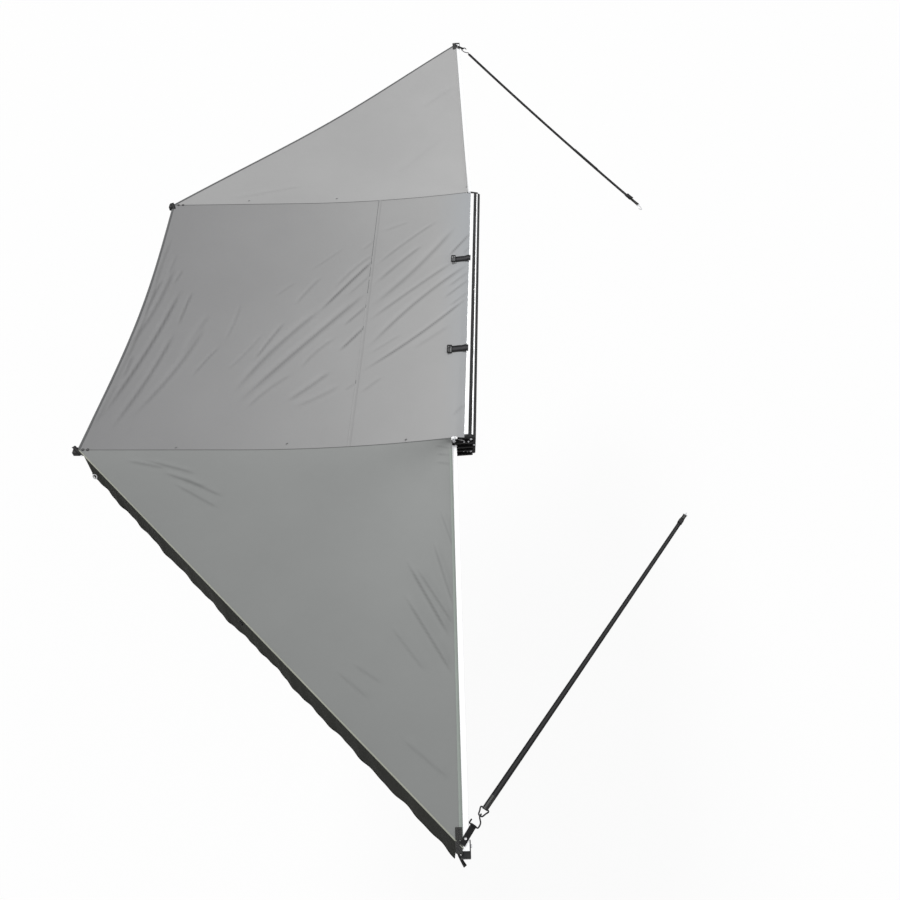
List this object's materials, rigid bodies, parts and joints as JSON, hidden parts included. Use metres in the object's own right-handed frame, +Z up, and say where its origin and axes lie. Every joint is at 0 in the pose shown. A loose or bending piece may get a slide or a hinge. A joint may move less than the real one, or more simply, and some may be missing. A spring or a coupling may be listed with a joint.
{
  "type": "vehicle side awning",
  "caption": "Freestanding side awning: a back channel with hinged arms that swing a three-panel canopy open, telescopic legs nested in the arms, and guy straps for the arm tips.",
  "frame": {"origin": "centre of the back channel's rear face, the face that is bolted to a rack", "axes": "+X points into what carries the awning, -X outboard; +Y towards the front end; +Z up"},
  "size_m": [3.5259, 6.1271, 1.2105],
  "materials": {
    "bright_bar": "satin anodised",
    "black_coat": "satin powder coat",
    "black_plastic": "fine grain",
    "zinc": "zinc plated",
    "rubber": "matte",
    "webbing": "woven polyester",
    "canopy_front_cloth": "coated ripstop",
    "canopy_main_cloth": "coated ripstop",
    "canopy_rear_cloth": "coated ripstop",
    "black_cloth": "coated cloth"
  },
  "bodies": {
    "base": {"back_channel": "black_coat", "canopy_rail": "bright_bar", "cover_rail": "bright_bar", "front_bracket": "black_coat", "front_pin": "zinc", "front_plate_bolt_upper": "zinc", "front_plate_bolt_lower": "zinc", "rear_bracket": "black_coat", "rear_pin": "zinc", "rear_plate_bolt_upper": "zinc", "rear_plate_bolt_lower": "zinc", "canopy_main_panel": "canopy_main_cloth", "front_hold_down_strap": "webbing", "front_hold_down_buckle": "black_plastic", "rear_hold_down_strap": "webbing", "rear_hold_down_buckle": "black_plastic"},
    "front_wing": {"front_wing_arm": "bright_bar", "front_wing_hub": "black_coat", "front_wing_tip": "black_plastic", "front_wing_leg_bolt": "zinc", "front_wing_loop": "webbing", "front_s_hook": "black_coat", "front_guy_strap": "webbing", "front_end_hook": "zinc"},
    "front_wing_leg": {"front_wing_leg_tube": "bright_bar"},
    "front_wing_extension": {"front_wing_leg_extension": "bright_bar", "front_wing_leg_foot": "rubber"},
    "front_wing_collar": {"front_wing_leg_collar": "black_plastic"},
    "front_corner": {"front_corner_arm": "bright_bar", "front_corner_hub": "black_coat", "front_corner_tip": "black_plastic", "front_corner_leg_bolt": "zinc", "canopy_front_panel": "canopy_front_cloth"},
    "front_corner_leg": {"front_corner_leg_tube": "bright_bar"},
    "front_corner_extension": {"front_corner_leg_extension": "bright_bar", "front_corner_leg_foot": "rubber"},
    "front_corner_collar": {"front_corner_leg_collar": "black_plastic"},
    "rear_corner": {"rear_corner_arm": "bright_bar", "rear_corner_hub": "black_coat", "rear_corner_tip": "black_plastic", "rear_corner_leg_bolt": "zinc", "canopy_rear_panel": "canopy_rear_cloth", "rear_valance": "black_cloth"},
    "rear_corner_leg": {"rear_corner_leg_tube": "bright_bar"},
    "rear_corner_extension": {"rear_corner_leg_extension": "bright_bar", "rear_corner_leg_foot": "rubber"},
    "rear_corner_collar": {"rear_corner_leg_collar": "black_plastic"},
    "rear_wing": {"rear_wing_arm": "bright_bar", "rear_wing_hub": "black_coat", "rear_wing_tip": "black_plastic", "rear_wing_leg_bolt": "zinc", "rear_wing_loop": "webbing", "rear_s_hook": "black_coat", "rear_ring": "black_coat", "rear_guy_strap": "webbing", "rear_end_hook": "zinc"},
    "rear_wing_leg": {"rear_wing_leg_tube": "bright_bar"},
    "rear_wing_extension": {"rear_wing_leg_extension": "bright_bar", "rear_wing_leg_foot": "rubber"},
    "rear_wing_collar": {"rear_wing_leg_collar": "black_plastic"}
  },
  "joints": [
    {"name": "front_wing_swing", "type": "hinge", "parent": "base", "child": "front_wing", "pos_m": [-0.07, 1.05, 0.048], "axis": [0, 0, -1], "range_deg": [-176.2, 0], "deforming": ["canopy_main_panel", "canopy_front_panel", "front_hold_down_strap", "front_hold_down_buckle", "rear_hold_down_strap", "rear_hold_down_buckle", "front_wing_loop", "front_s_hook", "front_guy_strap", "front_end_hook"]},
    {"name": "front_corner_swing", "type": "hinge", "parent": "base", "child": "front_corner", "pos_m": [-0.07, 1.05, -0.016], "axis": [0, 0, -1], "range_deg": [-87, 0], "deforming": ["canopy_main_panel", "canopy_front_panel"]},
    {"name": "rear_corner_swing", "type": "hinge", "parent": "base", "child": "rear_corner", "pos_m": [-0.114, -1.05, -0.048], "axis": [0, 0, 1], "range_deg": [-91.8, 0], "deforming": ["canopy_main_panel", "canopy_rear_panel", "rear_valance"]},
    {"name": "rear_wing_swing", "type": "hinge", "parent": "base", "child": "rear_wing", "pos_m": [-0.114, -1.05, 0.016], "axis": [0, 0, 1], "range_deg": [-182.95, 0], "deforming": ["canopy_main_panel", "canopy_rear_panel", "rear_valance", "rear_wing_loop", "rear_s_hook", "rear_ring", "rear_guy_strap", "rear_end_hook"]},
    {"name": "front_wing_leg_swing", "type": "hinge", "parent": "front_wing", "child": "front_wing_leg", "pos_m": [-0.20063, 3.01667, 0.0455], "axis": [0.9978, 0.0663, 0], "range_deg": [0, 95]},
    {"name": "front_wing_leg_slide", "type": "slide", "parent": "front_wing_leg", "child": "front_wing_extension", "axis": [0.0663, -0.9978, 0], "range_m": [0, 0.6]},
    {"name": "front_wing_collar_turn", "type": "hinge", "parent": "front_wing_leg", "child": "front_wing_collar", "pos_m": [-0.20063, 3.01667, 0.0455], "axis": [0.0663, -0.9978, 0], "range_deg": [0, 120]},
    {"name": "front_corner_leg_swing", "type": "hinge", "parent": "front_corner", "child": "front_corner_leg", "pos_m": [-2.0383, 0.94685, -0.0185], "axis": [-0.0523, 0.9986, 0], "range_deg": [0, 95]},
    {"name": "front_corner_leg_slide", "type": "slide", "parent": "front_corner_leg", "child": "front_corner_extension", "axis": [0.9986, 0.0523, 0], "range_m": [0, 0.6]},
    {"name": "front_corner_collar_turn", "type": "hinge", "parent": "front_corner_leg", "child": "front_corner_collar", "pos_m": [-2.0383, 0.94685, -0.0185], "axis": [0.9986, 0.0523, 0], "range_deg": [0, 120]},
    {"name": "rear_corner_leg_swing", "type": "hinge", "parent": "rear_corner", "child": "rear_corner_leg", "pos_m": [-2.08403, -1.11191, -0.0505], "axis": [-0.0314, 0.9995, 0], "range_deg": [0, 95]},
    {"name": "rear_corner_leg_slide", "type": "slide", "parent": "rear_corner_leg", "child": "rear_corner_extension", "axis": [0.9995, 0.0314, 0], "range_m": [0, 0.6]},
    {"name": "rear_corner_collar_turn", "type": "hinge", "parent": "rear_corner_leg", "child": "rear_corner_collar", "pos_m": [-2.08403, -1.11191, -0.0505], "axis": [0.9995, 0.0314, 0], "range_deg": [0, 120]},
    {"name": "rear_wing_leg_swing", "type": "hinge", "parent": "rear_wing", "child": "rear_wing_leg", "pos_m": [-0.01256, -3.01839, 0.0135], "axis": [-0.9987, -0.0515, 0], "range_deg": [0, 95]},
    {"name": "rear_wing_leg_slide", "type": "slide", "parent": "rear_wing_leg", "child": "rear_wing_extension", "axis": [-0.0515, 0.9987, 0], "range_m": [0, 0.6]},
    {"name": "rear_wing_collar_turn", "type": "hinge", "parent": "rear_wing_leg", "child": "rear_wing_collar", "pos_m": [-0.01256, -3.01839, 0.0135], "axis": [-0.0515, 0.9987, 0], "range_deg": [0, 120]}
  ],
  "couplings": [
    {"joint": "front_corner_swing", "follows": "front_wing_swing", "ratio": 0.49375},
    {"joint": "rear_corner_swing", "follows": "front_wing_swing", "ratio": 0.52099},
    {"joint": "rear_wing_swing", "follows": "front_wing_swing", "ratio": 1.0383}
  ]
}
